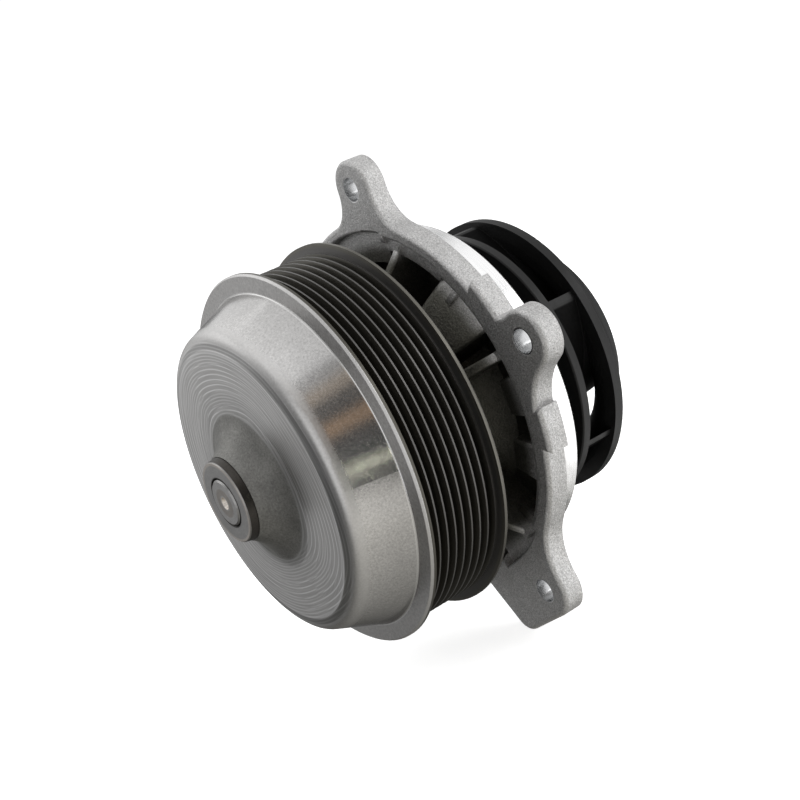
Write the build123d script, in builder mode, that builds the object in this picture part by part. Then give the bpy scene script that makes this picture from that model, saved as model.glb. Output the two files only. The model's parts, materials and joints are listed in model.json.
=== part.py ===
"""Belt-driven coolant pump for a heavy engine, as an assembly of separate pieces.

The frame: the shaft turns about Y, the pulley is towards -Y and the impeller towards +Y.
The origin is where the shaft axis meets the mounting face that bolts against the engine.
Z is up and X is to the right, seen from the pulley. Clock angles start at Z and grow towards X.
"""

import math
import os

from build123d import *

os.makedirs("parts", exist_ok=True)

# --- Casting: flange, ears and spigot -------------------------------------------------------
FLANGE_THICKNESS = 8.45
FLANGE_RADIUS = 75.0
FLANGE_EDGE_ROUND = 1.8
RIM_INNER_RADIUS = 67.2
SPIGOT_RADIUS = 66.7
SPIGOT_LENGTH = 13.8
BOLT_HOLE_RADIUS = 4.5
# Clock angle, hole distance from the axis, end radius, radius of the flank before and after it.
EARS = {
    "top": (6.1, 87.4, 10.8, 14.0, 17.0),
    "right": (73.6, 85.3, 11.0, 9.0, 26.0),
    "bottom": (149.4, 85.8, 11.4, 24.0, 14.0),
    "lower_left": (222.0, 86.0, 11.0, 18.0, 18.0),
    "upper_left": (293.0, 86.0, 11.0, 18.0, 18.0),
}
BOTTOM_CORNER = (24.6, -86.4, 7.2)
# Raised pads on the rim: clock angles from and to, outer radius.
RIM_PADS = [(53.5, 84.0, 78.4), (90.6, 103.2, 77.6), (262.0, 276.0, 77.6)]

# --- Casting: bowl, snout and inner walls ---------------------------------------------------
FLOOR_FRONT = 4.5
FLOOR_REAR = 11.5
SNOUT_FRONT = -66.0
SNOUT_FRONT_RADIUS = 30.5
SNOUT_ROOT_RADIUS = 34.0
RIB_SLOPE = 0.72
RIB_THICKNESS = 3.4
RIB_ANGLES = [21.5, 73.3, 139.5, 180.0, 200.0, 246.0, 270.0, 318.0, 340.0]
RIB_EDGE_ROUND = 1.1
# Humps between the ribs: clock angles from and to, height of the outer shoulder.
HUMPS = [(41.0, 65.0, -8.0), (205.0, 232.0, -7.0), (284.0, 305.0, -9.0)]
HUMP_EDGE_ROUND = 3.5
# Flat lands sunk into the rim beside the ears: clock angles from and to, height, radii.
LANDS = [
    (-21.0, 14.0, -4.8, 58.0, 70.6),
    (15.8, 42.0, -7.0, 64.6, 69.6),
    (133.5, 160.0, -4.8, 58.0, 70.2),
    (211.0, 232.0, -4.8, 58.0, 70.2),
    (284.0, 303.0, -4.8, 58.0, 70.2),
]
LAND_EDGE_ROUND = 1.3
# Short stiffeners standing in the bowl: clock angle, inner radius.
STIFFENERS = [(49.8, 60.5), (258.0, 58.0), (329.0, 58.0)]
STIFFENER_THICKNESS = 2.4
# Pads against the bowl's wall: clock angles from and to, inner radius, height.
WALL_PADS = [(80.7, 94.0, 57.5, -6.6), (103.4, 116.0, 55.2, -7.0)]
PAD_EDGE_ROUND = 1.4
# Weep hole below the seal and its vent above: clock angle, radius.
WEEP_HOLES = [(188.0, 2.5), (12.0, 1.8)]
# Points inside the bowl's wall, as radius and Y, where inner walls end.
BOWL_WALL_CORE = [(64.0, FLOOR_FRONT + 1), (66.0, 0.0), (RIM_INNER_RADIUS + 1.5, -2.0)]

# --- Bearing --------------------------------------------------------------------------------
BEARING_FRONT = -63.0
BEARING_REAR = -11.0
BEARING_OUTER_RADIUS = 24.0
BEARING_TRACK_RADIUS = 20.2
JOURNAL_RADIUS = 12.5
ROLLING_CLEARANCE = 0.02
BALL_RADIUS = 4.7625
BALL_PITCH_RADIUS = 16.4
BALL_COUNT = 8
BALL_ROW = -50.0
ROLLER_RADIUS = 3.83
ROLLER_LENGTH = 12.0
ROLLER_PITCH_RADIUS = 16.35
ROLLER_COUNT = 10
ROLLER_ROW = -24.0
SEAL_THICKNESS = 2.4
SEAL_LIP_CLEARANCE = 0.05
CIRCLIP_THICKNESS = 1.5
CIRCLIP_OUTER_RADIUS = 25.7
CIRCLIP_INNER_RADIUS = 22.2
CIRCLIP_GROOVE_RADIUS = 25.8
# Cages: inner radius, outer radius, half length, room round each rolling element.
BALL_CAGE = (14.3, 18.5, 6.2, 0.12)
ROLLER_CAGE = (14.5, 18.4, 8.6, 0.15)
CAGE_EDGE_ROUND = 0.5

# --- Shaft ----------------------------------------------------------------------------------
SHAFT_FRONT = -95.7
SHAFT_REAR = 45.0
SHAFT_NOSE_RADIUS = 8.9
SHAFT_TAIL_RADIUS = 8.0
JOURNAL_FRONT = -66.5
JOURNAL_REAR = -9.8

# --- Pulley ---------------------------------------------------------------------------------
PULLEY_FLANGE_RADIUS = 73.5
PULLEY_FRONT = -60.5
PULLEY_REAR = -26.3
RIB_TIP_RADIUS = 70.0
GROOVE_ROOT_RADIUS = 66.9
GROOVE_PITCH = 3.56
GROOVE_COUNT = 8
FIRST_TIP = -57.5
TIP_HALF_WIDTH = 0.3
GROOVE_SIDE_RUN = 1.13
CUP_RADIUS = 62.0
FACE_Y = -81.9
HUB_RADIUS = 16.2
HUB_FRONT = -95.2
HUB_REAR = -68.0

# --- Mechanical seal ------------------------------------------------------------------------
SEAL_BORE_RADIUS = 19.0
SEAL_BORE_FLOOR = 1.0
CUP_WALL = 0.8
SEAL_FACE = 14.9
FACE_GAP = 0.02
SPRING_WIRE_RADIUS = 0.8
SPRING_RADIUS = 15.4
SPRING_PITCH = 2.3

# --- Impeller -------------------------------------------------------------------------------
BACKPLATE_RADIUS = 55.8
BACKPLATE_FRONT = 27.0
BACKPLATE_REAR = 30.4
SHROUD_RADIUS = 57.4
SHROUD_FRONT = 42.0
SHROUD_REAR = 46.4
EYE_RADIUS = 36.0
COLLAR_RADIUS = 40.0
COLLAR_REAR = 62.5
VANE_COUNT = 6
VANE_FIRST_ANGLE = 4.3
VANE_THICKNESS = 3.0
VANE_INNER_RADIUS = 23.0
VANE_SWEEP = 91.0
INSERT_RADIUS = 11.5

# --- Flange ring seal -----------------------------------------------------------------------
RING_SEAL_RADIUS = 70.8
RING_SEAL_SECTION = 1.5


def on_clock(radius, angle):
    """X and Z of a point at a clock angle."""
    return (radius * math.sin(math.radians(angle)), radius * math.cos(math.radians(angle)))


def across(y):
    """A plane across the shaft at a height y. It faces the pulley, with X and Z as its own x and y."""
    return Plane.XZ.offset(-y)


def along(angle):
    """A plane that holds the shaft axis, with the radius as its x and Y as its y."""
    x, z = on_clock(1, angle)
    outward = Vector(x, 0, z)
    return Plane(origin=(0, 0, 0), x_dir=outward, z_dir=outward.cross(Vector(0, 1, 0)))


def ring_points(inner, outer, low, high):
    """The four corners of a ring's section, as radius and Y."""
    return [(inner, low), (outer, low), (outer, high), (inner, high)]


def touch(centre_a, radius_a, centre_b, radius_b, side):
    """The centre of an arc at given distances from two centres, on the side asked for."""
    gap = centre_b - centre_a
    run = (radius_a**2 - radius_b**2 + gap.length**2) / (2 * gap.length)
    rise = math.sqrt(radius_a**2 - run**2)
    unit = gap.normalized()
    return centre_a + unit * run + Vector(-unit.Y, unit.X) * rise * side


def flank(centre_a, radius_a, centre_b, radius_b, fillet_radius, side):
    """A hollow arc that runs smoothly from circle a to circle b."""
    middle = touch(centre_a, radius_a + fillet_radius, centre_b, radius_b + fillet_radius, side)
    start = centre_a + (middle - centre_a) * (radius_a / (radius_a + fillet_radius))
    end = centre_b + (middle - centre_b) * (radius_b / (radius_b + fillet_radius))
    inward = ((start + end) / 2 - middle).normalized()
    return start, middle + inward * fillet_radius, end


def ear_outline(angle, distance, end_radius, flank_before, flank_after):
    """The outline of one bolt ear: a round end with a hollow flank on each side."""
    axis = Vector(0, 0)
    hole = Vector(*on_clock(distance, angle))
    before = flank(axis, FLANGE_RADIUS, hole, end_radius, flank_before, 1)
    after = flank(axis, FLANGE_RADIUS, hole, end_radius, flank_after, -1)
    tip = hole + hole.normalized() * end_radius
    with BuildSketch() as outline:
        with BuildLine():
            ThreePointArc(*before)
            ThreePointArc(before[2], tip, after[2])
            ThreePointArc(*reversed(after))
            Line(after[0], before[0])
        make_face()
    return outline.sketch


def corner_outline():
    """The bottom ear's long foot, drawn tight round its two ends and its root on the rim."""
    hole_angle, hole_distance, end_radius = EARS["bottom"][:3]
    with BuildSketch() as outline:
        with Locations(on_clock(hole_distance, hole_angle)):
            Circle(end_radius)
        with Locations(BOTTOM_CORNER[:2]):
            Circle(BOTTOM_CORNER[2])
        with Locations(on_clock(66.0, 172.0), on_clock(60.0, 150.0)):
            Circle(8.0)
        make_hull()
    return outline.sketch


def sector(inner, outer, start, stop):
    """A ring sector between two clock angles."""
    middle = (start + stop) / 2
    with BuildSketch() as outline:
        with BuildLine():
            ThreePointArc(*(on_clock(outer, angle) for angle in (start, middle, stop)))
            Line(on_clock(outer, stop), on_clock(inner, stop))
            ThreePointArc(*(on_clock(inner, angle) for angle in (stop, middle, start)))
            Line(on_clock(inner, start), on_clock(outer, start))
        make_face()
    return outline.sketch


def save(builder, name):
    """Labels a finished piece and writes it."""
    builder.part.label = name
    export_step(builder.part, f"parts/{name}.step")


# ============================================================================================
# Casting
# ============================================================================================

with BuildPart() as hump_blanks:
    for start, stop, shoulder in HUMPS:
        with BuildSketch(along(start)):
            with BuildLine():
                ThreePointArc((66.5, shoulder + 3), (60.5, shoulder - 2.5), (52.0, shoulder - 9.0))
                Polyline(
                    (52.0, shoulder - 9.0),
                    (30.0, shoulder - 21.0),
                    (30.0, FLOOR_FRONT + 1),
                    (64.0, FLOOR_FRONT + 1),
                    (66.0, 1.5),
                    (66.5, shoulder + 3),
                )
            make_face()
        revolve(axis=Axis.Y, revolution_arc=stop - start)
    hump_crests = []
    for edge in hump_blanks.edges():
        middle = edge.center()
        along_axis_plane = abs(edge.tangent_at(0.5).cross(Vector(middle.X, 0, middle.Z)).Y) < 1e-3
        if middle.Y < -4.0 and math.hypot(middle.X, middle.Z) > 35.0 and along_axis_plane:
            hump_crests.append(edge)
    fillet(hump_crests, radius=HUMP_EDGE_ROUND)

with BuildPart() as pad_blanks:
    for start, stop, inner, height in WALL_PADS:
        with BuildSketch(along(start)):
            with BuildLine():
                Polyline(
                    (inner, height),
                    (inner, FLOOR_FRONT + 1),
                    *BOWL_WALL_CORE,
                    (RIM_INNER_RADIUS + 1, height),
                    close=True,
                )
            make_face()
        revolve(axis=Axis.Y, revolution_arc=stop - start)
    open_edges = []
    for edge in pad_blanks.edges():
        middle = edge.center()
        if middle.Y < 0.5 and math.hypot(middle.X, middle.Z) < 64.0:
            open_edges.append(edge)
    fillet(open_edges, radius=PAD_EDGE_ROUND)

with BuildPart() as rib_blank:
    with BuildSketch(along(0)):
        with BuildLine():
            Polyline(
                (29.0, FLOOR_FRONT + 1),
                *BOWL_WALL_CORE,
                (RIM_INNER_RADIUS + 1, -FLANGE_THICKNESS + 0.3),
                (RIM_INNER_RADIUS - 1, -FLANGE_THICKNESS + 0.3),
                (29.0, -FLANGE_THICKNESS - RIB_SLOPE * (RIM_INNER_RADIUS - 29.0)),
                close=True,
            )
        make_face()
    extrude(amount=RIB_THICKNESS / 2, both=True)
    rib_top = rib_blank.faces().sort_by(SortBy.AREA)[-3:]
    rib_top = [face for face in rib_top if abs(face.normal_at().X) < 0.5 and face.normal_at().Y < 0]
    long_edges = rib_top[0].edges().sort_by(SortBy.LENGTH)[-2:]
    fillet(long_edges, radius=RIB_EDGE_ROUND)

with BuildPart() as casting:
    # Flange plate with its five ears.
    with BuildSketch(across(0)) as plate:
        Circle(FLANGE_RADIUS)
        for ear in EARS.values():
            add(ear_outline(*ear))
        add(corner_outline())
        for start, stop, radius in RIM_PADS:
            add(sector(RIM_INNER_RADIUS, radius, start, stop))
    extrude(amount=FLANGE_THICKNESS)
    front_face = casting.faces().sort_by(Axis.Y)[0]
    fillet(front_face.outer_wire().edges(), radius=FLANGE_EDGE_ROUND)

    # Clear the plate's middle, then add the bowl, the spigot and the snout as one turned shape.
    with BuildSketch(across(0)):
        Circle(RIM_INNER_RADIUS + 3)
    extrude(amount=FLANGE_THICKNESS, mode=Mode.SUBTRACT)
    with BuildSketch(Plane.XY):
        with BuildLine():
            Polyline(
                (BEARING_OUTER_RADIUS, SNOUT_FRONT),
                (SNOUT_FRONT_RADIUS - 1, SNOUT_FRONT),
                (SNOUT_FRONT_RADIUS, SNOUT_FRONT + 1),
                (SNOUT_ROOT_RADIUS, -18.0),
            )
            ThreePointArc((SNOUT_ROOT_RADIUS, -18.0), (37.0, -2.0), (45.0, FLOOR_FRONT))
            Line((45.0, FLOOR_FRONT), (59.0, FLOOR_FRONT))
            ThreePointArc((59.0, FLOOR_FRONT), (62.6, 3.2), (64.6, 0.0))
            Line((64.6, 0.0), (RIM_INNER_RADIUS - 0.9, -5.2))
            ThreePointArc(
                (RIM_INNER_RADIUS - 0.9, -5.2),
                (RIM_INNER_RADIUS + 0.2, -7.5),
                (RIM_INNER_RADIUS + 2.3, -FLANGE_THICKNESS),
            )
            Polyline(
                (RIM_INNER_RADIUS + 2.3, -FLANGE_THICKNESS),
                (RIM_INNER_RADIUS + 5, -FLANGE_THICKNESS),
                (RIM_INNER_RADIUS + 5, 0.0),
                (SPIGOT_RADIUS, 0.0),
                (SPIGOT_RADIUS, SPIGOT_LENGTH - 0.8),
                (SPIGOT_RADIUS - 0.8, SPIGOT_LENGTH),
                (60.5, SPIGOT_LENGTH),
                (58.5, FLOOR_REAR),
                (30.0, FLOOR_REAR),
                (28.0, SPIGOT_LENGTH),
                (SEAL_BORE_RADIUS, SPIGOT_LENGTH),
                (SEAL_BORE_RADIUS, SEAL_BORE_FLOOR),
                (11.0, SEAL_BORE_FLOOR),
                (11.0, -2.0),
                (20.0, -2.0),
                (20.0, -9.0),
                (21.5, BEARING_REAR),
                (BEARING_OUTER_RADIUS, BEARING_REAR),
                (BEARING_OUTER_RADIUS, SNOUT_FRONT),
            )
        make_face()
    revolve(axis=Axis.Y)

    # Lands beside the ears, radial ribs, humps and short stiffeners, all within the bowl.
    for start, stop, height, inner, outer in LANDS:
        crest = -FLANGE_THICKNESS
        with BuildSketch(along(start)):
            with BuildLine():
                Polyline(
                    (outer + LAND_EDGE_ROUND, crest),
                    (outer + LAND_EDGE_ROUND, crest - 1),
                    (RIM_INNER_RADIUS - 4, crest - 1),
                    (RIM_INNER_RADIUS - 4, height),
                    (outer, height),
                    (outer, crest + LAND_EDGE_ROUND),
                )
                RadiusArc(
                    (outer, crest + LAND_EDGE_ROUND), (outer + LAND_EDGE_ROUND, crest), -LAND_EDGE_ROUND
                )
            make_face()
        revolve(axis=Axis.Y, revolution_arc=stop - start, mode=Mode.SUBTRACT)
        with BuildSketch(along(start)):
            with BuildLine():
                Polyline(
                    (inner, height),
                    (min(inner, 63.0), FLOOR_FRONT + 1),
                    *BOWL_WALL_CORE,
                    (RIM_INNER_RADIUS + 1, height),
                    close=True,
                )
            make_face()
        revolve(axis=Axis.Y, revolution_arc=stop - start)
    for angle in RIB_ANGLES:
        add(rib_blank.part, rotation=(0, angle, 0))
    add(hump_blanks.part)
    add(pad_blanks.part)
    for angle, inner in STIFFENERS:
        with BuildSketch(along(angle)):
            with BuildLine():
                Polyline(
                    (inner, FLOOR_FRONT + 1),
                    *BOWL_WALL_CORE,
                    (RIM_INNER_RADIUS + 1, -7.4),
                    (inner + 1.5, -9.6),
                    (inner, -8.4),
                    close=True,
                )
            make_face()
        extrude(amount=STIFFENER_THICKNESS / 2, both=True)

    # Bearing bore, circlip groove, bolt holes, weep hole and its vent.
    with BuildSketch(Plane.XY):
        groove_middle = (BEARING_OUTER_RADIUS + CIRCLIP_GROOVE_RADIUS) / 2
        with Locations((groove_middle, BEARING_FRONT - CIRCLIP_THICKNESS / 2)):
            Rectangle(CIRCLIP_GROOVE_RADIUS - BEARING_OUTER_RADIUS, CIRCLIP_THICKNESS)
    revolve(axis=Axis.Y, mode=Mode.SUBTRACT)
    with BuildSketch(across(2)):
        for angle, distance, *_ in EARS.values():
            with Locations(on_clock(distance, angle)):
                Circle(BOLT_HOLE_RADIUS)
    extrude(amount=FLANGE_THICKNESS + 8, mode=Mode.SUBTRACT)
    for angle, radius in WEEP_HOLES:
        x, z = on_clock(15.0, angle)
        with BuildSketch(Plane(origin=(x, -5.5, z), z_dir=(x, 0, z))):
            Circle(radius)
        extrude(amount=32.0, mode=Mode.SUBTRACT)

    # Groove for the ring seal in the mounting face.
    with BuildSketch(Plane.XY):
        with Locations((RING_SEAL_RADIUS, -RING_SEAL_SECTION)):
            Rectangle(2 * RING_SEAL_SECTION + 0.2, 2 * RING_SEAL_SECTION + 0.001)
    revolve(axis=Axis.Y, mode=Mode.SUBTRACT)
save(casting, "casting")


# ============================================================================================
# Bearing: outer ring, two rows of rolling elements with cages, end seals and circlip
# ============================================================================================

with BuildPart() as bearing_ring:
    with BuildSketch(Plane.XY):
        with BuildLine():
            Polyline(
                ring_points(BEARING_TRACK_RADIUS, BEARING_OUTER_RADIUS, BEARING_FRONT, BEARING_REAR),
                close=True,
            )
        make_face()
        with Locations((BALL_PITCH_RADIUS, BALL_ROW)):
            Circle(BALL_RADIUS + ROLLING_CLEARANCE, mode=Mode.SUBTRACT)
    revolve(axis=Axis.Y)
save(bearing_ring, "bearing_outer_ring")

with BuildPart() as balls:
    with Locations(Plane.XZ.offset(-BALL_ROW)):
        with PolarLocations(BALL_PITCH_RADIUS, BALL_COUNT):
            Sphere(BALL_RADIUS)
save(balls, "bearing_balls")

with BuildPart() as ball_cage:
    inner, outer, half_length, room = BALL_CAGE
    with BuildSketch(Plane.XY):
        with BuildLine():
            low, high = BALL_ROW - half_length, BALL_ROW + half_length
            Polyline(ring_points(inner, outer, low, high), close=True)
        make_face()
    revolve(axis=Axis.Y)
    fillet(ball_cage.edges(), radius=CAGE_EDGE_ROUND)
    with Locations(Plane.XZ.offset(-BALL_ROW)):
        with PolarLocations(BALL_PITCH_RADIUS, BALL_COUNT):
            Cylinder(BALL_RADIUS + room, 3 * (outer - inner), rotation=(0, 90, 0), mode=Mode.SUBTRACT)
save(ball_cage, "ball_cage")

with BuildPart() as rollers:
    with BuildSketch(across(ROLLER_ROW + ROLLER_LENGTH / 2)):
        with PolarLocations(ROLLER_PITCH_RADIUS, ROLLER_COUNT):
            Circle(ROLLER_RADIUS)
    extrude(amount=ROLLER_LENGTH)
    fillet(rollers.edges().filter_by(GeomType.CIRCLE), radius=0.35)
save(rollers, "bearing_rollers")

with BuildPart() as roller_cage:
    inner, outer, half_length, room = ROLLER_CAGE
    pocket = (2 * (outer - inner), 2 * (ROLLER_RADIUS + room), ROLLER_LENGTH + 2 * room)
    with BuildSketch(Plane.XY):
        with BuildLine():
            low, high = ROLLER_ROW - half_length, ROLLER_ROW + half_length
            Polyline(ring_points(inner, outer, low, high), close=True)
        make_face()
    revolve(axis=Axis.Y)
    fillet(roller_cage.edges(), radius=CAGE_EDGE_ROUND)
    with Locations(Plane.XZ.offset(-ROLLER_ROW)):
        with PolarLocations(ROLLER_PITCH_RADIUS, ROLLER_COUNT):
            Box(*pocket, mode=Mode.SUBTRACT)
save(roller_cage, "roller_cage")

SEAL_INNER_RADIUS = JOURNAL_RADIUS + SEAL_LIP_CLEARANCE
for name, outside, inward in (
    ("front_bearing_seal", BEARING_FRONT + 0.3, 1),
    ("rear_bearing_seal", BEARING_REAR - 0.3, -1),
):
    with BuildPart() as end_seal:
        with BuildSketch(Plane.XY):
            with BuildLine():
                Polyline(
                    (BEARING_TRACK_RADIUS, outside),
                    (BEARING_TRACK_RADIUS, outside + SEAL_THICKNESS * inward),
                    (17.0, outside + SEAL_THICKNESS * inward),
                    (15.6, outside + 1.5 * inward),
                    (13.4, outside + 2.2 * inward),
                    (SEAL_INNER_RADIUS, outside + 1.9 * inward),
                    (SEAL_INNER_RADIUS, outside + 1.5 * inward),
                    (14.2, outside + 0.5 * inward),
                    (15.6, outside),
                    close=True,
                )
            make_face()
        revolve(axis=Axis.Y)
    save(end_seal, name)

with BuildPart() as circlip:
    with BuildSketch(across(BEARING_FRONT)):
        Circle(CIRCLIP_OUTER_RADIUS)
        Circle(CIRCLIP_INNER_RADIUS, mode=Mode.SUBTRACT)
        with Locations((0, -BEARING_OUTER_RADIUS)):
            Rectangle(9.0, 6.0, mode=Mode.SUBTRACT)
        with Locations((-6.2, -22.4), (6.2, -22.4)):
            Circle(2.3)
            Circle(1.1, mode=Mode.SUBTRACT)
    extrude(amount=CIRCLIP_THICKNESS)
save(circlip, "bearing_circlip")

# ============================================================================================
# Shaft, pulley and the hub that joins them
# ============================================================================================

with BuildPart() as shaft:
    with BuildSketch(Plane.XY):
        with BuildLine():
            Polyline(
                (0, SHAFT_FRONT + 3.2),
                (1.3, SHAFT_FRONT + 2.0),
                (2.4, SHAFT_FRONT),
                (SHAFT_NOSE_RADIUS - 0.6, SHAFT_FRONT),
                (SHAFT_NOSE_RADIUS, SHAFT_FRONT + 0.6),
                (SHAFT_NOSE_RADIUS, JOURNAL_FRONT),
                (JOURNAL_RADIUS - 0.6, JOURNAL_FRONT),
                (JOURNAL_RADIUS, JOURNAL_FRONT + 0.6),
                (JOURNAL_RADIUS, JOURNAL_REAR - 0.6),
                (JOURNAL_RADIUS - 0.6, JOURNAL_REAR),
                (SHAFT_TAIL_RADIUS, JOURNAL_REAR),
                (SHAFT_TAIL_RADIUS, SHAFT_REAR - 1.0),
                (SHAFT_TAIL_RADIUS - 1.0, SHAFT_REAR),
                (0, SHAFT_REAR),
                close=True,
            )
        make_face()
        with Locations((BALL_PITCH_RADIUS, BALL_ROW)):
            Circle(BALL_RADIUS + ROLLING_CLEARANCE, mode=Mode.SUBTRACT)
    revolve(axis=Axis.Y)
save(shaft, "shaft")

with BuildPart() as pulley_hub:
    with BuildSketch(Plane.XY):
        with BuildLine():
            Polyline(
                (SHAFT_NOSE_RADIUS + 0.7, HUB_FRONT),
                (HUB_RADIUS - 0.9, HUB_FRONT),
                (HUB_RADIUS - 0.5, HUB_FRONT + 0.4),
                (HUB_RADIUS, HUB_FRONT + 3.0),
                (HUB_RADIUS, HUB_REAR - 0.6),
                (HUB_RADIUS - 0.6, HUB_REAR),
                (SHAFT_NOSE_RADIUS, HUB_REAR),
                (SHAFT_NOSE_RADIUS, HUB_FRONT + 1.1),
                close=True,
            )
        make_face()
    revolve(axis=Axis.Y)
save(pulley_hub, "pulley_hub")

groove_line = []
for groove in range(GROOVE_COUNT):
    tip = FIRST_TIP + groove * GROOVE_PITCH
    next_tip = tip + GROOVE_PITCH
    groove_line += [
        (RIB_TIP_RADIUS, tip + TIP_HALF_WIDTH),
        (GROOVE_ROOT_RADIUS, tip + TIP_HALF_WIDTH + GROOVE_SIDE_RUN),
        (GROOVE_ROOT_RADIUS, next_tip - TIP_HALF_WIDTH - GROOVE_SIDE_RUN),
        (RIB_TIP_RADIUS, next_tip - TIP_HALF_WIDTH),
    ]

with BuildPart() as pulley:
    with BuildSketch(Plane.XY):
        with BuildLine():
            Polyline(
                (HUB_RADIUS, -84.5),
                (HUB_RADIUS, -91.8),
                (HUB_RADIUS + 0.3, -91.8),
            )
            ThreePointArc((HUB_RADIUS + 0.3, -91.8), (22.4, -85.4), (31.7, FACE_Y))
            Line((31.7, FACE_Y), (52.9, FACE_Y))
            Line((52.9, FACE_Y), (55.9, -80.9))
            ThreePointArc((55.9, -80.9), (58.0, -79.9), (59.2, -78.2))
            Polyline(
                (59.2, -78.2),
                (66.2, PULLEY_FRONT - 0.3),
                (66.5, PULLEY_FRONT),
                (PULLEY_FLANGE_RADIUS - 0.7, PULLEY_FRONT),
                (PULLEY_FLANGE_RADIUS, PULLEY_FRONT + 0.7),
                (PULLEY_FLANGE_RADIUS, PULLEY_FRONT + 2.0),
                (RIB_TIP_RADIUS, PULLEY_FRONT + 2.6),
                *groove_line,
                (RIB_TIP_RADIUS, PULLEY_REAR - 2.4),
                (PULLEY_FLANGE_RADIUS, PULLEY_REAR - 1.6),
                (PULLEY_FLANGE_RADIUS, PULLEY_REAR - 0.5),
                (PULLEY_FLANGE_RADIUS - 0.5, PULLEY_REAR),
                (CUP_RADIUS + 0.8, PULLEY_REAR),
                (CUP_RADIUS, PULLEY_REAR - 0.8),
                (CUP_RADIUS, -60.5),
                (55.0, -75.6),
            )
            ThreePointArc((55.0, -75.6), (54.3, -76.5), (53.2, -76.9))
            Line((53.2, -76.9), (31.0, -76.9))
            ThreePointArc((31.0, -76.9), (22.6, -79.4), (HUB_RADIUS, -84.5))
        make_face()
    revolve(axis=Axis.Y)
save(pulley, "pulley")

with BuildPart() as slinger:
    with BuildSketch(Plane.XY):
        with BuildLine():
            Polyline(
                (SHAFT_TAIL_RADIUS, -9.0),
                (9.2, -9.0),
                (9.2, -7.4),
                (15.6, -6.6),
                (17.2, -7.8),
                (17.6, -7.2),
                (15.9, -5.6),
                (9.2, -5.9),
                (SHAFT_TAIL_RADIUS, -5.9),
                close=True,
            )
        make_face()
    revolve(axis=Axis.Y)
save(slinger, "water_slinger")

# ============================================================================================
# Mechanical seal: standing half in the casting, turning half on the shaft
# ============================================================================================

with BuildPart() as seal_cup:
    cup_inner = SEAL_BORE_RADIUS - CUP_WALL
    with BuildSketch(Plane.XY):
        with BuildLine():
            Polyline(
                (9.6, SEAL_BORE_FLOOR),
                (SEAL_BORE_RADIUS, SEAL_BORE_FLOOR),
                (SEAL_BORE_RADIUS, SPIGOT_LENGTH),
                (21.8, SPIGOT_LENGTH),
                (21.8, SPIGOT_LENGTH + CUP_WALL),
                (cup_inner, SPIGOT_LENGTH + CUP_WALL),
                (cup_inner, SEAL_BORE_FLOOR + CUP_WALL),
                (10.4, SEAL_BORE_FLOOR + CUP_WALL),
                (10.4, 7.0),
                (9.6, 7.0),
                close=True,
            )
        make_face()
    revolve(axis=Axis.Y)
save(seal_cup, "seal_cup")

with BuildPart() as seal_bellows:
    with BuildSketch(Plane.XY):
        with BuildLine():
            Polyline(
                (10.4, 1.8),
                (13.4, 1.8),
                (13.4, 4.4),
                (12.4, 5.4),
                (13.6, 7.4),
                (13.6, 8.2),
                (16.4, 8.2),
                (16.4, 10.0),
                (14.0, 10.0),
                (14.0, 13.2),
                (13.0, 13.2),
                (13.0, 10.0),
                (11.2, 10.0),
                (11.2, 7.6),
                (10.4, 6.6),
                close=True,
            )
        make_face()
    revolve(axis=Axis.Y)
save(seal_bellows, "seal_bellows")

with BuildPart() as seal_carbon:
    with BuildSketch(Plane.XY):
        with BuildLine():
            Polyline(
                (9.2, 10.0),
                (13.0, 10.0),
                (13.0, 13.4),
                (12.3, 13.4),
                (12.3, SEAL_FACE),
                (10.2, SEAL_FACE),
                (9.2, 13.6),
                close=True,
            )
        make_face()
    revolve(axis=Axis.Y)
save(seal_carbon, "seal_carbon_ring")

with BuildPart() as seal_retainer:
    with BuildSketch(Plane.XY):
        with BuildLine():
            Polyline(
                (14.0, 10.0),
                (16.4, 10.0),
                (16.4, 7.6),
                (17.0, 7.6),
                (17.0, 10.7),
                (14.7, 10.7),
                (14.7, 13.4),
                (14.0, 13.4),
                close=True,
            )
        make_face()
    revolve(axis=Axis.Y)
save(seal_retainer, "seal_retainer")

with BuildPart() as seal_spring:
    spring_low = SEAL_BORE_FLOOR + CUP_WALL + SPRING_WIRE_RADIUS + 0.1
    with BuildLine():
        coil = Helix(SPRING_PITCH, 4.5, SPRING_RADIUS, center=(0, spring_low, 0), direction=(0, 1, 0))
    with BuildSketch(Plane(origin=coil @ 0, z_dir=coil % 0)):
        Circle(SPRING_WIRE_RADIUS)
    sweep(is_frenet=True)
save(seal_spring, "seal_spring")

with BuildPart() as mating_ring:
    with BuildSketch(Plane.XY):
        with BuildLine():
            face_low = SEAL_FACE + FACE_GAP
            Polyline(ring_points(9.4, 14.2, face_low, face_low + 3.4), close=True)
        make_face()
    revolve(axis=Axis.Y)
    chamfer(mating_ring.edges(), length=0.3)
save(mating_ring, "mating_ring")

with BuildPart() as mating_boot:
    with BuildSketch(Plane.XY):
        with BuildLine():
            boot_low = SEAL_FACE + FACE_GAP
            Polyline(
                (SHAFT_TAIL_RADIUS, boot_low + 0.6),
                (9.4, boot_low + 0.6),
                (9.4, boot_low + 3.4),
                (14.2, boot_low + 3.4),
                (14.2, boot_low + 1.0),
                (15.6, boot_low + 1.0),
                (15.6, boot_low + 5.2),
                (SHAFT_TAIL_RADIUS, boot_low + 5.2),
                close=True,
            )
        make_face()
    revolve(axis=Axis.Y)
save(mating_boot, "mating_ring_boot")

# ============================================================================================
# Impeller: metal insert, back plate with vanes, and the shroud that closes them
# ============================================================================================

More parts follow.
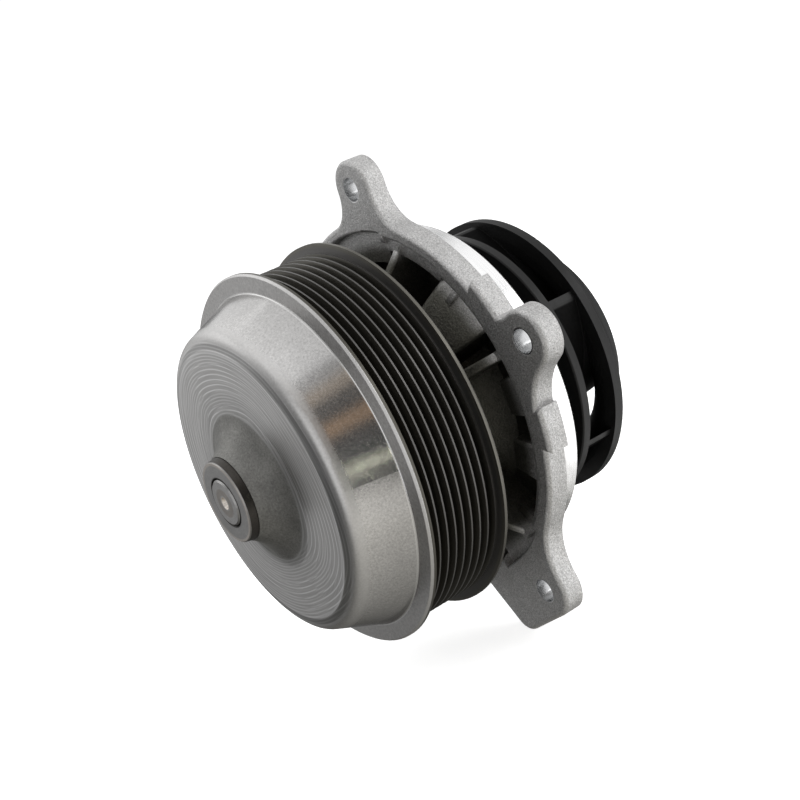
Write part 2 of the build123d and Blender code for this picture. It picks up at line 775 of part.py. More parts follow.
BOOT_BACK = SEAL_FACE + FACE_GAP + 5.2
with BuildPart() as insert:
    with BuildSketch(across(SHAFT_REAR - 1.5)):
        Circle(INSERT_RADIUS)
        with PolarLocations(INSERT_RADIUS, 12):
            Circle(0.7, mode=Mode.SUBTRACT)
        Circle(SHAFT_TAIL_RADIUS, mode=Mode.SUBTRACT)
    extrude(amount=SHAFT_REAR - 1.5 - BOOT_BACK)
save(insert, "impeller_insert")


def shroud_underside():
    """The line, as radius and Y, that the vane tops and the shroud share."""
    with BuildLine() as line:
        Line((SHROUD_RADIUS, SHROUD_FRONT), (52.0, SHROUD_FRONT))
        ThreePointArc((52.0, SHROUD_FRONT), (41.6, 46.6), (EYE_RADIUS, 57.0))
    return line.line


def vane_outline(angle):
    """One backward-swept vane seen along the shaft, thinned at both ends."""
    stations = [0.0, 0.25, 0.5, 0.75, 1.0]
    sides = {}
    for side in (-1, 1):
        points = []
        for t in stations:
            radius = BACKPLATE_RADIUS - 0.2 + (VANE_INNER_RADIUS - BACKPLATE_RADIUS + 0.2) * t
            half = VANE_THICKNESS / 2 * (0.72 + 1.12 * t * (1 - t))
            turn = angle + VANE_SWEEP * (0.72 * t + 0.28 * t * t)
            points.append(on_clock(radius, turn + math.degrees(side * half * 1.15 / radius)))
        sides[side] = points
    with BuildSketch() as outline:
        with BuildLine():
            Spline(*sides[1])
            Line(sides[1][-1], sides[-1][-1])
            Spline(*reversed(sides[-1]))
            Line(sides[-1][0], sides[1][0])
        make_face()
    return outline.sketch


with BuildPart() as shroud:
    with BuildSketch(Plane.XY):
        with BuildLine():
            add(shroud_underside())
            Polyline(
                (EYE_RADIUS, 57.0),
                (EYE_RADIUS, COLLAR_REAR),
                (COLLAR_RADIUS - 0.8, COLLAR_REAR),
                (COLLAR_RADIUS, COLLAR_REAR - 0.8),
                (COLLAR_RADIUS + 0.4, 57.6),
            )
            ThreePointArc((COLLAR_RADIUS + 0.4, 57.6), (43.6, 52.0), (50.5, 48.4))
            Polyline(
                (50.5, 48.4),
                (SHROUD_RADIUS - 0.5, SHROUD_REAR),
                (SHROUD_RADIUS, SHROUD_REAR - 0.6),
                (SHROUD_RADIUS, SHROUD_FRONT),
            )
        make_face()
    revolve(axis=Axis.Y)
save(shroud, "impeller_shroud")

with BuildPart() as vane_space:
    with BuildSketch(Plane.XY):
        with BuildLine():
            add(shroud_underside())
            Polyline(
                (EYE_RADIUS, 57.0),
                (24.0, 46.0),
                (20.0, 28.0),
                (SHROUD_RADIUS, 28.0),
                (SHROUD_RADIUS, SHROUD_FRONT),
            )
        make_face()
    revolve(axis=Axis.Y)

with BuildPart() as vanes:
    with BuildSketch(across(60.0)):
        for vane in range(VANE_COUNT):
            add(vane_outline(VANE_FIRST_ANGLE + vane * 360 / VANE_COUNT))
    extrude(amount=60.0 - BACKPLATE_REAR + 0.5)
    add(vane_space.part, mode=Mode.INTERSECT)

with BuildPart() as impeller:
    with BuildSketch(Plane.XY):
        with BuildLine():
            Polyline(
                (INSERT_RADIUS, BOOT_BACK + 0.6),
                (17.5, BOOT_BACK + 0.6),
                (18.6, BACKPLATE_FRONT - 1.6),
            )
            ThreePointArc(
                (18.6, BACKPLATE_FRONT - 1.6), (19.3, BACKPLATE_FRONT - 0.5), (20.6, BACKPLATE_FRONT)
            )
            Polyline(
                (20.6, BACKPLATE_FRONT),
                (BACKPLATE_RADIUS - 0.4, BACKPLATE_FRONT),
                (BACKPLATE_RADIUS, BACKPLATE_FRONT + 0.4),
                (BACKPLATE_RADIUS, BACKPLATE_REAR),
                (34.0, BACKPLATE_REAR + 0.6),
            )
            ThreePointArc((34.0, BACKPLATE_REAR + 0.6), (23.5, 34.4), (17.4, 43.4))
            ThreePointArc((17.4, 43.4), (15.6, 45.8), (12.8, 46.6))
            Polyline(
                (12.8, 46.6),
                (INSERT_RADIUS, 46.6),
                (INSERT_RADIUS, BOOT_BACK + 0.6),
            )
        make_face()
    revolve(axis=Axis.Y)
    add(vanes.part)
    add(insert.part, mode=Mode.SUBTRACT)
save(impeller, "impeller")

# ============================================================================================
# Ring seal in the mounting face
# ============================================================================================

with BuildPart() as ring_seal:
    with BuildSketch(Plane.XY):
        with Locations((RING_SEAL_RADIUS, -RING_SEAL_SECTION)):
            Circle(RING_SEAL_SECTION)
    revolve(axis=Axis.Y)
save(ring_seal, "flange_ring_seal")
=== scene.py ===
"""The looks of the water pump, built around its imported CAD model.

Metres, in the row frame: the shaft turns about Y, the pulley is towards -Y, Z is up.
"""

import json
import math

import bmesh
import bpy
from mathutils import Matrix, Vector


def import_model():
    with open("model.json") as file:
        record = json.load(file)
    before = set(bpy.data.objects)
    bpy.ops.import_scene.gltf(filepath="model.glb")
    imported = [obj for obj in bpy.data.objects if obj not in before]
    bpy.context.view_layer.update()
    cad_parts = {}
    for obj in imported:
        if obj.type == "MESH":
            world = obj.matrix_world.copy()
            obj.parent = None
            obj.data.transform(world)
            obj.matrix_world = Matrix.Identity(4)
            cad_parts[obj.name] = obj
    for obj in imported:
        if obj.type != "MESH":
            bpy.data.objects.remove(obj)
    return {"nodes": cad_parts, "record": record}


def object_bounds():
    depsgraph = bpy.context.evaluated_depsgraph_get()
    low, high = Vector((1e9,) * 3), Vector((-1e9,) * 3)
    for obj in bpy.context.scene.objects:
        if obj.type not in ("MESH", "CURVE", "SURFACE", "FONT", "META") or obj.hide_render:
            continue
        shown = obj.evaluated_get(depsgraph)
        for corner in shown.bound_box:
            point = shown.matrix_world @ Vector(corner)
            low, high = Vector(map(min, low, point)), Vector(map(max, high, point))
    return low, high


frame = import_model()
cad_low, cad_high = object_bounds()
nodes = frame["nodes"]
MM = 0.001


# ============================================================================================
# Node trees in short calls
# ============================================================================================


class Graph:
    """One node tree. Every call returns an output socket."""

    def __init__(self, tree):
        self.tree = tree
        self.tree.nodes.clear()

    def node(self, kind, **settings):
        made = self.tree.nodes.new(kind)
        for name, value in settings.items():
            setattr(made, name, value)
        return made

    def feed(self, socket, value):
        if isinstance(value, bpy.types.NodeSocket):
            self.tree.links.new(value, socket)
        else:
            socket.default_value = value

    def math(self, operation, a, b=0.0, clamp=False):
        made = self.node("ShaderNodeMath", operation=operation, use_clamp=clamp)
        self.feed(made.inputs[0], a)
        self.feed(made.inputs[1], b)
        return made.outputs[0]

    def span(self, value, low, high, to_low=0.0, to_high=1.0):
        """A smooth step from to_low at low to to_high at high."""
        made = self.node("ShaderNodeMapRange", interpolation_type="SMOOTHSTEP")
        for index, given in enumerate((value, low, high, to_low, to_high)):
            self.feed(made.inputs[index], given)
        return made.outputs[0]

    def above(self, value, edge):
        """0 before a soft edge (low, high) and 1 past it."""
        return self.span(value, *edge)

    def below(self, value, edge):
        """1 before a soft edge (low, high) and 0 past it."""
        return self.span(value, *edge, 1.0, 0.0)

    def band(self, value, low, high, soft):
        """1 between low and high, 0 outside, with soft ends."""
        rise = self.span(value, low - soft, low + soft)
        fall = self.span(value, high - soft, high + soft, 1.0, 0.0)
        return self.math("MULTIPLY", rise, fall)

    def both(self, *masks):
        """The product of all the masks: 1 where every one of them is 1."""
        made = masks[0]
        for mask in masks[1:]:
            made = self.math("MULTIPLY", made, mask)
        return made

    def vector(self, x, y, z):
        made = self.node("ShaderNodeCombineXYZ")
        for index, given in enumerate((x, y, z)):
            self.feed(made.inputs[index], given)
        return made.outputs[0]

    def noise(self, vector, scale, detail=3.0, roughness=0.5):
        made = self.node("ShaderNodeTexNoise")
        self.feed(made.inputs["Vector"], vector)
        made.inputs["Scale"].default_value = scale
        made.inputs["Detail"].default_value = detail
        made.inputs["Roughness"].default_value = roughness
        return made.outputs["Fac"]

    def cells(self, vector, scale):
        made = self.node("ShaderNodeTexVoronoi")
        self.feed(made.inputs["Vector"], vector)
        made.inputs["Scale"].default_value = scale
        return made.outputs["Distance"]

    def mix(self, share, a, b):
        """A colour between a and b."""
        made = self.node("ShaderNodeMix", data_type="RGBA")
        self.feed(made.inputs[0], share)
        self.feed(made.inputs[6], a)
        self.feed(made.inputs[7], b)
        return made.outputs[2]

    def blend(self, share, a, b):
        """A number between a and b."""
        made = self.node("ShaderNodeMix", data_type="FLOAT")
        self.feed(made.inputs[0], share)
        self.feed(made.inputs[2], a)
        self.feed(made.inputs[3], b)
        return made.outputs[0]

    def shade(self, colour, amount):
        """A colour times a number."""
        made = self.node("ShaderNodeVectorMath", operation="SCALE")
        self.feed(made.inputs[0], colour[:3] if isinstance(colour, tuple) else colour)
        self.feed(made.inputs["Scale"], amount)
        return made.outputs[0]

    def bump(self, height, distance, strength=1.0, normal=None):
        made = self.node("ShaderNodeBump")
        made.inputs["Strength"].default_value = strength
        made.inputs["Distance"].default_value = distance
        self.feed(made.inputs["Height"], height)
        if normal is not None:
            self.feed(made.inputs["Normal"], normal)
        return made.outputs[0]


class Surface(Graph):
    """A Principled material. Radius and y are in mm; x, z and metres (the radius) are in metres."""

    def __init__(self, name, **constants):
        self.material = bpy.data.materials.new(name)
        self.material.use_nodes = True
        super().__init__(self.material.node_tree)
        self.shader = self.node("ShaderNodeBsdfPrincipled")
        self.output = self.node("ShaderNodeOutputMaterial")
        self.feed(self.output.inputs[0], self.shader.outputs[0])
        for socket, value in constants.items():
            self.shader.inputs[socket.replace("_", " ")].default_value = value
        texture = self.node("ShaderNodeTexCoord")
        self.object = texture.outputs["Object"]
        parts = self.node("ShaderNodeSeparateXYZ")
        self.feed(parts.inputs[0], self.object)
        self.x, y, self.z = parts.outputs
        self.y = self.math("DIVIDE", y, MM)
        square = self.math("ADD", self.math("POWER", self.x, 2.0), self.math("POWER", self.z, 2.0))
        self.metres = self.math("SQRT", square)
        self.radius = self.math("DIVIDE", self.metres, MM)

    def turned(self, pitch, sweep, detail=2.0):
        """Noise drawn out along the circles round the shaft. Pitch is in mm, sweep breaks the circles up."""
        run = self.math("DIVIDE", self.math("ADD", self.radius, self.y), pitch)
        reach = self.math("ADD", self.metres, 1e-6)
        across = self.math("MULTIPLY", self.math("DIVIDE", self.x, reach), sweep)
        up = self.math("MULTIPLY", self.math("DIVIDE", self.z, reach), sweep)
        return self.noise(self.vector(run, across, up), 1.0, detail)

    def arcs(self, pitch, wander, width, source):
        """Thin lines that run round the shaft at a pitch in mm and wander by some pitches."""
        count = self.math("DIVIDE", self.radius, pitch)
        count = self.math("ADD", count, self.math("MULTIPLY", source, wander))
        offset = self.math("ABSOLUTE", self.math("SUBTRACT", self.math("FRACT", count), 0.5))
        return self.span(offset, width * 0.4, width, 1.0, 0.0)

    def tone(self, value, spread):
        """A factor round 1 from a 0 to 1 value."""
        made = self.node("ShaderNodeMapRange")
        for index, given in enumerate((value, 0.25, 0.75, 1.0 - spread, 1.0 + spread)):
            self.feed(made.inputs[index], given)
        return made.outputs[0]

    def colour(self, value):
        self.feed(self.shader.inputs["Base Color"], value)

    def roughness(self, value):
        self.feed(self.shader.inputs["Roughness"], value)

    def normal(self, value):
        self.feed(self.shader.inputs["Normal"], value)


def grey(level, warmth=0.0):
    return (level * (1 + warmth), level, level * (1 - warmth), 1.0)


# ============================================================================================
# Materials
# ============================================================================================


# Clock angle and distance from the shaft of the bolt holes in the ears, in degrees and mm.
BOLT_HOLES = [(6.1, 87.4), (73.6, 85.3), (149.4, 85.8), (222.0, 86.0), (293.0, 86.0)]

# Where one finish of the casting gives way to the next: both ends of each soft edge, in mm.
# The bowl's radius and rear y bound the painted shade inside the bowl.
BOWL_RADIUS = (61.0, 67.5)
BOWL_REAR_Y = (8.0, 11.0)
SPIGOT_RADIUS = (65.9, 66.1)
SPIGOT_FRONT_Y = (0.02, 0.1)
MOUNTING_FACE_RADIUS = (66.6, 66.8)
BEARING_BORE_RADIUS = (24.05, 24.15)
SNOUT_FRONT_Y = (-65.95, -65.9)

# The same for the bolt holes, in metres.
BOLT_HOLE_RADIUS = (0.0047, 0.0051)

# The slice along y that the mounting face lies in, in mm.
MOUNTING_FACE_Y = (-0.05, 0.3)

# Painted shade: the skin inside the bowl is painted far darker, as the shade in its hollows.
BOWL_SHADE_DARK = (0.085, 0.083, 0.070, 1.0)
BOWL_SHADE_LIGHT = (0.145, 0.142, 0.126, 1.0)

# Soft edges of the pulley's finishes, in mm.
FACE_REAR_Y = (-81.3, -80.4)
DISH_RADIUS = (27.5, 31.5)
ROUND_EDGE_INNER = (55.6, 56.4)
ROUND_EDGE_OUTER = (59.3, 60.6)
CONE_FRONT_Y = (-80.6, -79.6)
CONE_FOOT_RADIUS = (66.5, 66.8)
WHEEL_RADIUS = (66.7, 67.1)
# The groove floor, the tips and the rear flange's edge bound painted shade.
GROOVE_FLOOR_RADIUS = (63.0, 63.5)
TIP_RADIUS = (69.8, 69.95)
# The rim's edges bound a painted highlight on its chamfer.
RIM_RADIUS = (72.7, 73.0)
RIM_FRONT_Y = (-59.9, -59.7)
REAR_FLANGE_Y = (-28.9, -28.5)

# Noise levels over which the close arcs on the face give way to the wide ones.
PRESENCE_LEVELS = (0.42, 0.60)

# Rings and bands on the pulley, between two radii or two heights along the shaft, in mm.
# The dish edge band carries a painted highlight.
DISH_EDGE = (28.9, 29.5)
# The face corner band is painted shade; the corner line is a painted highlight.
FACE_CORNER = (53.3, 55.5)
CORNER_LINE = (52.1, 52.8)
# Between these heights the grooves and tips are painted dark as shade.
GROOVES_Y = (-59.6, -26.5)
TIPS_Y = (-57.95, -28.2)
# The cone's foot ring carries a painted highlight.
CONE_FOOT_Y = (-61.1, -60.4)
CONE_FOOT_RING = (65.8, 66.8)

ROUGH_CUT = (0.235, 0.233, 0.222, 1.0)
# Painted shade: the grooves and the rear flange's outside are painted near black.
GROOVE_SHADE = (0.092, 0.088, 0.077, 1.0)
REAR_FLANGE_SHADE = (0.135, 0.130, 0.115, 1.0)

# The impeller's passages, from and to along y, and soft edges of the parts painted duller and darker as
# shade, in mm.
PASSAGES_Y = (30.7, 41.7)
PASSAGE_RADIUS = (54.9, 55.3)
BACKPLATE_FRONT_Y = (26.9, 27.3)


def cast_aluminium():
    """Sand-cast skin with turned seats: the spigot, the mounting face, the snout's front and its bore."""
    s = Surface("cast_aluminium", Metallic=1.0)
    grain = s.noise(s.object, 1800.0, 3.0, 0.75)
    pits = s.cells(s.object, 950.0)
    cloud = s.noise(s.object, 55.0, 3.0)
    patches = s.noise(s.object, 220.0, 3.0, 0.6)

    skin = s.mix(cloud, grey(0.47, 0.01), grey(0.57, 0.005))
    skin = s.shade(skin, s.tone(grain, 0.55))
    skin = s.shade(skin, s.tone(patches, 0.07))
    # Painted shade: inside the bowl the skin gives way to a far darker grey.
    bowl_shade = s.mix(patches, BOWL_SHADE_DARK, BOWL_SHADE_LIGHT)
    bowl_shade = s.shade(bowl_shade, s.tone(grain, 0.45))
    inside = s.both(s.below(s.radius, BOWL_RADIUS), s.below(s.y, BOWL_REAR_Y))
    skin = s.mix(inside, skin, bowl_shade)

    spigot = s.both(s.above(s.radius, SPIGOT_RADIUS), s.above(s.y, SPIGOT_FRONT_Y))
    face = s.both(s.above(s.radius, MOUNTING_FACE_RADIUS), s.band(s.y, *MOUNTING_FACE_Y, 0.03))
    bore = s.below(s.radius, BEARING_BORE_RADIUS)
    front = s.below(s.y, SNOUT_FRONT_Y)
    turned_seat = s.math("MAXIMUM", s.math("MAXIMUM", spigot, face), s.math("MAXIMUM", bore, front))
    drilled = 0.0
    level_point = s.vector(s.x, 0.0, s.z)
    for angle, distance in BOLT_HOLES:
        turn = math.radians(angle)
        centre = (distance * math.sin(turn) * MM, 0.0, distance * math.cos(turn) * MM)
        reach = s.node("ShaderNodeVectorMath", operation="DISTANCE")
        s.feed(reach.inputs[0], level_point)
        s.feed(reach.inputs[1], centre)
        hole = s.below(reach.outputs["Value"], BOLT_HOLE_RADIUS)
        drilled = s.math("MAXIMUM", drilled, hole)
    turned_seat = s.math("MAXIMUM", turned_seat, drilled)

    marks = s.turned(0.35, 2.0)
    bright = s.mix(face, grey(0.90), grey(0.40))
    bright = s.mix(drilled, bright, grey(0.42, -0.01))
    bright = s.shade(bright, s.tone(marks, 0.06))
    s.colour(s.mix(turned_seat, skin, bright))

    rough_skin = s.math("ADD", 0.46, s.math("MULTIPLY", grain, 0.14))
    rough_seat = s.math("ADD", s.span(face, 0.0, 1.0, 0.20, 0.34), s.math("MULTIPLY", marks, 0.12))
    s.roughness(s.blend(turned_seat, rough_skin, rough_seat))

    rough_height = s.math("ADD", grain, s.math("MULTIPLY", pits, 0.5))
    height = s.math("MULTIPLY", rough_height, s.math("SUBTRACT", 1.0, turned_seat))
    fine = s.bump(height, 0.00022, 0.85)
    s.normal(s.bump(cloud, 0.0008, 0.35, fine))
    return s.material


def pulley_steel():
    """Turned steel: arcs on the face, a rougher dish, a finely grained cone, grooves and thin tips painted
    dark as shade, and painted shade and highlights at the face's edges and rims.
    """
    s = Surface("pulley_steel", Metallic=1.0)
    grain = s.noise(s.object, 1250.0, 3.0, 0.7)
    blotch = s.noise(s.object, 70.0, 3.0)
    rings = s.turned(0.8, 1.7, 4.0)
    fine_rings = s.turned(0.30, 2.4)
    drift = s.turned(90.0, 0.8, 0.0)
    presence = s.turned(7.0, 1.6, 3.0)
    wide_arcs = s.both(s.arcs(2.05, 6.0, 0.17, drift), s.above(presence, PRESENCE_LEVELS))
    close_arcs = s.both(s.arcs(1.25, 9.0, 0.28, drift), s.span(presence, *reversed(PRESENCE_LEVELS)))

    flat = s.below(s.y, FACE_REAR_Y)
    dish = s.below(s.radius, DISH_RADIUS)
    round_edge = s.both(s.above(s.radius, ROUND_EDGE_INNER), s.below(s.radius, ROUND_EDGE_OUTER))
    dish_edge_highlight = s.band(s.radius, *DISH_EDGE, 0.4)
    cone = s.both(s.above(s.y, CONE_FRONT_Y), s.below(s.radius, CONE_FOOT_RADIUS))
    wheel = s.above(s.radius, WHEEL_RADIUS)
    corner = s.band(s.radius, *FACE_CORNER, 0.35)
    corner_highlight = s.band(s.radius, *CORNER_LINE, 0.3)
    groove = s.both(s.band(s.y, *GROOVES_Y, 0.15), s.above(s.radius, GROOVE_FLOOR_RADIUS))
    tips = s.both(s.band(s.y, *TIPS_Y, 0.1), s.above(s.radius, TIP_RADIUS))
    foot = s.both(s.band(s.y, *CONE_FOOT_Y, 0.15), s.band(s.radius, *CONE_FOOT_RING, 0.2))
    front_rim = s.both(s.above(s.radius, RIM_RADIUS), s.below(s.y, RIM_FRONT_Y))
    rims = s.math("MAXIMUM", foot, front_rim)

    body = s.mix(blotch, grey(0.44, 0.014), grey(0.51, 0.012))
    ringed = s.shade(body, s.tone(rings, 0.10))
    ringed = s.shade(ringed, s.tone(fine_rings, 0.14))
    ringed = s.mix(s.math("MULTIPLY", wide_arcs, 0.62), ringed, grey(0.92))
    ringed = s.mix(s.math("MULTIPLY", close_arcs, 0.40), ringed, grey(0.92))
    # Painted shade: the face is painted darker towards the dish.
    ringed = s.shade(ringed, s.span(s.radius, 29.0, 42.0, 0.80, 1.0))
    rough_cut = s.shade(s.shade(ROUGH_CUT, s.tone(blotch, 0.30)), s.tone(grain, 0.30))
    ringed = s.mix(dish, ringed, rough_cut)
    # Painted highlight: a light line along the dish's edge.
    ringed = s.mix(s.math("MULTIPLY", dish_edge_highlight, 0.5), ringed, grey(0.60))
    body = s.shade(body, s.tone(grain, 0.26))
    body = s.mix(flat, body, ringed)
    # Painted shade at the face's corner, and a painted highlight as a thin light line just inside it.
    body = s.mix(corner, body, s.shade(body, 0.66))
    body = s.mix(s.math("MULTIPLY", corner_highlight, 0.35), body, grey(0.85))
    body = s.mix(cone, body, s.shade(body, s.span(s.radius, 59.5, 66.0, 1.06, 0.88)))
    body = s.mix(s.math("MULTIPLY", round_edge, 0.4), body, grey(0.62, 0.01))
    body = s.mix(wheel, body, s.shade(body, 1.02))
    # Painted shade: the grooves, the rear flange's outside and the thin tips between the grooves are painted
    # dark.
    black = s.mix(s.above(s.y, REAR_FLANGE_Y), GROOVE_SHADE, REAR_FLANGE_SHADE)
    body = s.mix(groove, body, s.shade(black, s.tone(fine_rings, 0.25)))
    body = s.mix(tips, body, grey(0.115, 0.03))
    # Painted highlight: light lines on the front rim's chamfer and round the cone's foot.
    body = s.mix(s.math("MULTIPLY", rims, 0.7), body, grey(0.62, 0.01))
    s.colour(body)

    rough_cone = s.math("ADD", 0.13, s.math("MULTIPLY", grain, 0.14))
    rough_cone = s.math("ADD", rough_cone, s.math("MULTIPLY", wheel, 0.22))
    rough_cone = s.math("ADD", rough_cone, s.math("MULTIPLY", round_edge, 0.20))
    rough_flat = s.math("ADD", 0.28, s.math("MULTIPLY", rings, 0.16))
    rough_flat = s.math("ADD", rough_flat, s.math("MULTIPLY", dish, 0.22))
    s.roughness(s.blend(flat, rough_cone, rough_flat))

    turned_height = s.math("ADD", rings, s.math("MULTIPLY", fine_rings, 0.6))
    turned_height = s.both(s.math("SUBTRACT", turned_height, 0.8), flat)
    fine = s.bump(grain, 0.00003, 0.5)
    s.normal(s.bump(turned_height, 0.00006, 0.6, fine))
    return s.material


def turned_steel(name, level, warmth, roughness, zones=()):
    """Plain turned steel. A zone gives a stretch of it another grey level."""
    s = Surface(name, Metallic=1.0)
    rings = s.turned(0.45, 3.0, 3.0)
    grain = s.noise(s.object, 1500.0, 3.0)
    cloud = s.noise(s.object, 160.0, 2.0)
    body = s.shade(grey(level, warmth), s.tone(rings, 0.16))
    for low, high, inner, outer, tone in zones:
        zone = s.both(s.band(s.y, low, high, 0.1), s.band(s.radius, inner, outer, 0.25))
        body = s.mix(zone, body, grey(tone, 0.08))
    body = s.shade(body, s.tone(cloud, 0.10))
    s.colour(s.shade(body, s.tone(grain, 0.12)))
    s.roughness(s.math("ADD", roughness, s.math("MULTIPLY", rings, 0.14)))
    s.normal(s.bump(s.math("ADD", rings, s.math("MULTIPLY", grain, 0.4)), 0.00005, 0.6))
    return s.material


def moulded(name, colour, roughness, grain_scale):
    """Moulded polymer or rubber: a fine skin, faint flow clouds and duller patches."""
    s = Surface(name, Metallic=0.0, Specular_IOR_Level=0.32)
    grain = s.noise(s.object, grain_scale, 3.0, 0.6)
    cloud = s.noise(s.object, 60.0, 3.0)
    s.colour(s.shade(s.shade((*colour, 1.0), s.tone(cloud, 0.18)), s.tone(grain, 0.12)))
    s.roughness(s.math("ADD", roughness, s.math("MULTIPLY", cloud, 0.12)))
    s.normal(s.bump(grain, 0.00005, 0.5))
    return s.material


def impeller_polymer():
    """Glass-filled black polymer: satin on its rims and outside; in the passages and on the back plate's
    front it is painted matt and darker, as shade.
    """
    s = Surface("black_polymer", Metallic=0.0, Specular_IOR_Level=0.30)
    grain = s.noise(s.object, 900.0, 3.0, 0.6)
    flow = s.turned(3.0, 2.2, 3.0)
    cloud = s.noise(s.object, 60.0, 3.0)
    s.colour(s.shade(s.shade(grey(0.006), s.tone(cloud, 0.3)), s.tone(grain, 0.2)))
    unevenness = s.math("ADD", s.math("MULTIPLY", flow, 0.30), s.math("MULTIPLY", cloud, 0.08))
    s.roughness(s.math("ADD", 0.24, unevenness))
    relief = s.bump(s.math("ADD", grain, s.math("MULTIPLY", flow, 1.5)), 0.00006, 0.5)
    s.normal(relief)

    # Painted shade: a duller, darker black for the passages and the back plate's front.
    dull = s.node("ShaderNodeBsdfPrincipled")
    dull.inputs["Specular IOR Level"].default_value = 0.04
    dull.inputs["Roughness"].default_value = 0.75
    s.feed(dull.inputs["Base Color"], s.shade(grey(0.0045), s.tone(grain, 0.3)))
    s.feed(dull.inputs["Normal"], relief)
    passages = s.both(s.band(s.y, *PASSAGES_Y, 0.15), s.below(s.radius, PASSAGE_RADIUS))
    front = s.both(s.below(s.y, BACKPLATE_FRONT_Y), s.below(s.radius, PASSAGE_RADIUS))
    mixed = s.node("ShaderNodeMixShader")
    s.feed(mixed.inputs[0], s.math("MAXIMUM", passages, front))
    s.feed(mixed.inputs[1], s.shader.outputs[0])
    s.feed(mixed.inputs[2], dull.outputs[0])
    s.feed(s.output.inputs[0], mixed.outputs[0])
    return s.material


# Zones of the turned steels: y from and to, radius from and to, in mm, then the grey level.
HUB_ZONES = [
    # Painted shade: the collar's side and the ring round the shaft end are painted near black.
    (-94.8, -60.0, 12.0, 20.0, 0.055),
    (-96.0, -93.0, 5.0, 9.9, 0.03),
    (-96.0, -94.8, 14.4, 15.4, 0.42),
]
SHAFT_ZONES = [
    (-97.0, -90.0, -1.0, 2.5, 0.60),
    (-97.0, -95.0, 3.0, 5.6, 0.24),
]

materials = {
    "cast_aluminium": cast_aluminium(),
    "pulley_steel": pulley_steel(),
    "hub_steel": turned_steel("hub_steel", 0.30, 0.01, 0.30, HUB_ZONES),
    "shaft_steel": turned_steel("shaft_steel", 0.34, 0.01, 0.26, SHAFT_ZONES),
    "bearing_steel": turned_steel("bearing_steel", 0.64, 0.0, 0.12),
    "spring_steel": turned_steel("spring_steel", 0.16, 0.04, 0.34),
    "stainless_steel": turned_steel("stainless_steel", 0.66, 0.0, 0.22),
    "insert_steel": turned_steel("insert_steel", 0.50, 0.0, 0.28),
    "seal_carbon": moulded("seal_carbon", (0.045, 0.045, 0.05), 0.35, 1500.0),
    "seal_ceramic": moulded("seal_ceramic", (0.20, 0.20, 0.22), 0.14, 1200.0),
    "black_rubber": moulded("black_rubber", (0.025, 0.025, 0.025), 0.55, 1400.0),
    "ring_seal_rubber": moulded("ring_seal_rubber", (0.04, 0.04, 0.045), 0.50, 1400.0),
    "cage_polymer": moulded("cage_polymer", (0.62, 0.57, 0.45), 0.42, 1100.0),
    "black_polymer": impeller_polymer(),
}

for part in frame["record"]["subparts"]:
    node = nodes[part["node"]]
    for index in range(max(1, len(node.material_slots))):
        if not node.material_slots:
            node.data.materials.append(None)
        node.material_slots[index].material = materials[part["material_slot"]]


# ============================================================================================
# Floor, light and reflections
# ============================================================================================


def panel(name, centre, facing, width, height, level, tint=(1, 1, 1), fade=None):
    """A flat card that stands for a studio surface. It faces a point and glows at a level.

    Fade is (axis, level at that axis's start): 0 runs across the card and 1 runs up it.
    """
    mesh = bpy.data.meshes.new(name)
    shape = bmesh.new()
    bmesh.ops.create_grid(shape, x_segments=1, y_segments=1, size=0.5)
    bmesh.ops.scale(shape, vec=(width, height, 1), verts=shape.verts)
    shape.to_mesh(mesh)
    shape.free()
    card = bpy.data.objects.new(name, mesh)
    bpy.context.scene.collection.objects.link(card)
    direction = (Vector(facing) - Vector(centre)).normalized()
    side = Vector((0, 0, 1)).cross(direction).normalized()
    card.matrix_world = Matrix.Translation(centre) @ Matrix(
        (
            (side.x, direction.cross(side).x, direction.x, 0),
            (side.y, direction.cross(side).y, direction.y, 0),
            (side.z, direction.cross(side).z, direction.z, 0),
            (0, 0, 0, 1),
        )
    )
    material = bpy.data.materials.new(name)
    material.use_nodes = True
    graph = Graph(material.node_tree)
    glow = graph.node("ShaderNodeEmission")
    glow.inputs[0].default_value = (*tint, 1.0)
    glow.inputs[1].default_value = level
    if fade is not None:
        texture = graph.node("ShaderNodeTexCoord")
        parts = graph.node("ShaderNodeSeparateXYZ")
        graph.feed(parts.inputs[0], texture.outputs["Object"])
        axis, start = fade
        half = (width, height)[axis] / 2
        graph.feed(glow.inputs[1], graph.span(parts.outputs[axis], -half, half, start, level))
    output = graph.node("ShaderNodeOutputMaterial")
    graph.feed(output.inputs[0], glow.outputs[0])
    mesh.materials.append(material)
    card.visible_camera = False
    card.visible_shadow = False


def floor():
    """A pale floor under the lowest point. It glows, which keeps the shadow faint."""
    mesh = bpy.data.meshes.new("floor")
    shape = bmesh.new()
    bmesh.ops.create_grid(shape, x_segments=8, y_segments=8, size=6.0)
    shape.to_mesh(mesh)
    shape.free()
    ground = bpy.data.objects.new("floor", mesh)
    bpy.context.scene.collection.objects.link(ground)
    ground.location = (0, 0, cad_low.z)
    material = bpy.data.materials.new("floor")
    material.use_nodes = True
    shader = material.node_tree.nodes["Principled BSDF"]
    shader.inputs["Base Color"].default_value = (0.93, 0.93, 0.93, 1)
    shader.inputs["Roughness"].default_value = 0.8
    shader.inputs["Emission Color"].default_value = (1, 1, 1, 1)
    shader.inputs["Emission Strength"].default_value = 0.72
    ground.visible_glossy = False
    mesh.materials.append(material)


def softbox(name, place, width, height, watts):
    """A rectangular light that points at the origin."""
    light = bpy.data.lights.new(name, "AREA")
    light.shape = "RECTANGLE"
    light.size = width
    light.size_y = height
    light.energy = watts
    lamp = bpy.data.objects.new(name, light)
    bpy.context.scene.collection.objects.link(lamp)
    lamp.location = place
    direction = -Vector(place)
    lamp.rotation_euler = direction.to_track_quat("-Z", "Y").to_euler()


